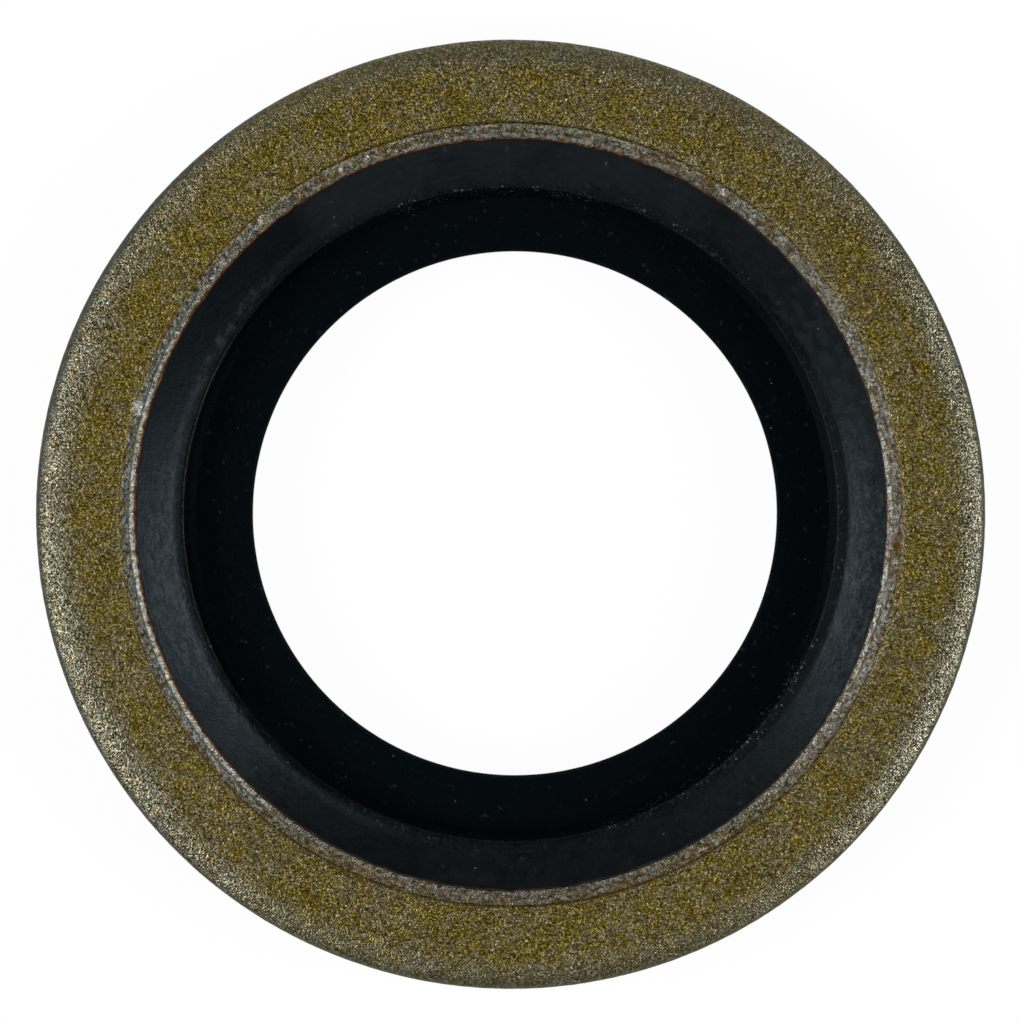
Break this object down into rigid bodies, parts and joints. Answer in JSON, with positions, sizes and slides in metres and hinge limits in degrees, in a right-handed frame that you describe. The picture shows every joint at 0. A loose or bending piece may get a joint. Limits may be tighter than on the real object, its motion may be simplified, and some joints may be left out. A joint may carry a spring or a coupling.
{
  "type": "bonded sealing washer",
  "caption": "Steel ring with a moulded rubber seal bonded in its bore: a lip on each face and a thin web that centres it on the thread.",
  "frame": {"origin": "on the washer's axis, in the plane that the crest of the lower sealing lip rests on", "axes": "+Z along the axis, out of the face with the rolled outer edge; X and Y are any two directions across, because the washer is round"},
  "size_m": [0.0206, 0.0206, 0.0027],
  "materials": {
    "plated_steel": "grit-blasted steel, zinc plated with an olive-yellow passivation, dull and finely grained",
    "seal_rubber": "black moulded nitrile rubber, satin, with faint concentric tool marks"
  },
  "bodies": {
    "root": {"metal_ring": "plated_steel", "rubber_seal": "seal_rubber"}
  },
  "joints": []
}
